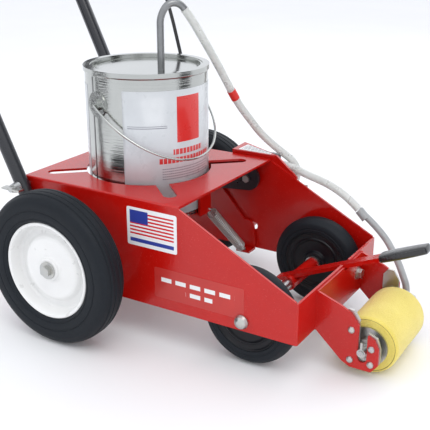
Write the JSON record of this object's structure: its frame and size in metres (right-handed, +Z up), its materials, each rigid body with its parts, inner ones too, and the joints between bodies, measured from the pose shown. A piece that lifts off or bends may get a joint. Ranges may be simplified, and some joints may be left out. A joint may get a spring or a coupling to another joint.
{
  "type": "line striping machine",
  "caption": "Walk-behind machine that rolls paint from an open can onto the ground as a line, with a folding handle, a wheel-driven pump and free-rolling wheels.",
  "frame": {"origin": "middle of the machine's footprint, on the ground", "axes": "+X the way it is pushed, +Y its left side, +Z up"},
  "size_m": [0.8704, 0.398, 0.9195],
  "materials": {
    "red_powder_coat": "gloss powder coat",
    "zinc_plate": "bright zinc plate",
    "black_paint": "satin",
    "tyre_rubber": "matt",
    "white_paint": "satin",
    "yellow_foam": "open foam",
    "black_vinyl": "dipped vinyl, satin",
    "steel_pipe": "dull steel tube",
    "grey_plastic": "smooth",
    "black_foam": "soft foam",
    "black_plastic": "moulded",
    "clear_plastic": "clear",
    "clear_hose": "translucent",
    "tin_plate": "tin plate"
  },
  "bodies": {
    "frame": {"deck_plate": "red_powder_coat", "right_side_panel": "red_powder_coat", "left_side_panel": "red_powder_coat", "front_panel": "red_powder_coat", "rear_panel": "red_powder_coat", "can_cradle": "red_powder_coat", "pump_guard": "red_powder_coat", "rear_axle": "zinc_plate", "rear_wheel_bolts": "zinc_plate", "axle_spacers": "zinc_plate", "front_axle": "zinc_plate", "front_axle_caps": "zinc_plate", "roller_bracket": "red_powder_coat", "bearing_plates": "zinc_plate", "bracket_rivets": "zinc_plate", "frame_bolts": "zinc_plate", "fold_bolts": "zinc_plate", "pump_housing": "black_plastic", "pump_cover": "clear_plastic", "pump_tube": "clear_hose", "extension_spring": "zinc_plate", "hose_clips": "zinc_plate", "arm_wire": "zinc_plate", "control_cable": "black_plastic", "suction_hose": "clear_hose", "delivery_hose": "clear_hose"},
    "right_rear_wheel": {"right_rear_tyre": "tyre_rubber", "right_rear_rim": "white_paint"},
    "left_rear_wheel": {"left_rear_tyre": "tyre_rubber", "left_rear_rim": "white_paint"},
    "right_front_wheel": {"right_front_tyre": "tyre_rubber", "right_front_core": "black_plastic"},
    "left_front_wheel": {"left_front_tyre": "tyre_rubber", "left_front_core": "black_plastic"},
    "lever": {"front_lever": "red_powder_coat", "lever_grip": "black_vinyl"},
    "roller_axle": {"hollow_axle": "zinc_plate", "axle_retainers": "zinc_plate", "feed_fittings": "grey_plastic", "feed_pipe": "grey_plastic"},
    "roller": {"foam_sleeve": "yellow_foam", "roller_core": "grey_plastic", "roller_end_discs": "zinc_plate"},
    "handle": {"right_handle_tube": "black_paint", "left_handle_tube": "black_paint", "handle_crossbar": "black_paint", "handle_grip": "black_foam", "wing_bolts": "zinc_plate", "lever_bracket": "zinc_plate"},
    "squeeze_lever": {"hand_lever": "black_paint"},
    "swing_arm": {"drive_arm": "red_powder_coat", "arm_stiffener": "black_paint", "drive_belt": "black_plastic"},
    "friction_wheel": {"drive_wheel": "zinc_plate"},
    "rotor": {"pump_rotor": "grey_plastic"},
    "can": {"can_body": "tin_plate", "can_lid": "tin_plate", "can_ears": "tin_plate", "suction_pipe": "steel_pipe"},
    "bail": {"can_bail": "zinc_plate"}
  },
  "joints": [
    {"name": "right_rear_wheel_spin", "type": "hinge", "parent": "frame", "child": "right_rear_wheel", "pos_m": [0.01492, -0.178, 0.1016], "axis": [0, 1, 0], "continuous": true},
    {"name": "right_front_wheel_spin", "type": "hinge", "parent": "frame", "child": "right_front_wheel", "pos_m": [0.25722, -0.0978, 0.0635], "axis": [0, 1, 0], "continuous": true},
    {"name": "left_rear_wheel_spin", "type": "hinge", "parent": "frame", "child": "left_rear_wheel", "pos_m": [0.01492, 0.178, 0.1016], "axis": [0, 1, 0], "continuous": true},
    {"name": "left_front_wheel_spin", "type": "hinge", "parent": "frame", "child": "left_front_wheel", "pos_m": [0.25722, 0.0978, 0.0635], "axis": [0, 1, 0], "continuous": true},
    {"name": "lever_swing", "type": "hinge", "parent": "frame", "child": "lever", "pos_m": [0.25722, 0.02, 0.0635], "axis": [0, -1, 0], "range_deg": [0, 60]},
    {"name": "roller_float", "type": "slide", "parent": "frame", "child": "roller_axle", "axis": [0, 0, 1], "range_m": [-0.006, 0.018], "deforming": ["delivery_hose"]},
    {"name": "roller_spin", "type": "hinge", "parent": "roller_axle", "child": "roller", "pos_m": [0.39282, 0, 0.037], "axis": [0, 1, 0], "continuous": true},
    {"name": "handle_fold", "type": "hinge", "parent": "frame", "child": "handle", "pos_m": [-0.04531, 0, 0.118], "axis": [0, -1, 0], "range_deg": [0, 62], "deforming": ["control_cable"]},
    {"name": "hand_lever_squeeze", "type": "hinge", "parent": "handle", "child": "squeeze_lever", "pos_m": [-0.3396, 0.1315, 0.8], "axis": [0, -1, 0], "range_deg": [0, 8], "stiffness_Nm_per_rad": 0.5, "springref_deg": -2.86},
    {"name": "pump_clutch", "type": "hinge", "parent": "frame", "child": "swing_arm", "pos_m": [0.13492, 0.117, 0.161], "axis": [0, -1, 0], "range_deg": [0, 5], "stiffness_Nm_per_rad": 8, "springref_deg": -2.86, "deforming": ["extension_spring", "arm_wire"]},
    {"name": "drive_wheel_spin", "type": "hinge", "parent": "swing_arm", "child": "friction_wheel", "pos_m": [0.13492, 0.178, 0.085], "axis": [0, 1, 0], "continuous": true},
    {"name": "pump_rotor_spin", "type": "hinge", "parent": "frame", "child": "rotor", "pos_m": [0.13492, 0.139, 0.161], "axis": [0, 1, 0], "continuous": true},
    {"name": "can_lift", "type": "slide", "parent": "frame", "child": "can", "axis": [0, 0, 1], "range_m": [0, 0.055], "deforming": ["suction_hose"]},
    {"name": "bail_swing", "type": "hinge", "parent": "can", "child": "bail", "pos_m": [0.03872, 0, 0.293], "axis": [-0.2588, -0.9659, 0], "range_deg": [0, 80]}
  ],
  "couplings": [
    {"joint": "pump_clutch", "follows": "hand_lever_squeeze", "ratio": 0.625},
    {"joint": "drive_wheel_spin", "follows": "left_rear_wheel_spin", "ratio": -5.3075},
    {"joint": "pump_rotor_spin", "follows": "left_rear_wheel_spin", "ratio": -5.3075}
  ]
}
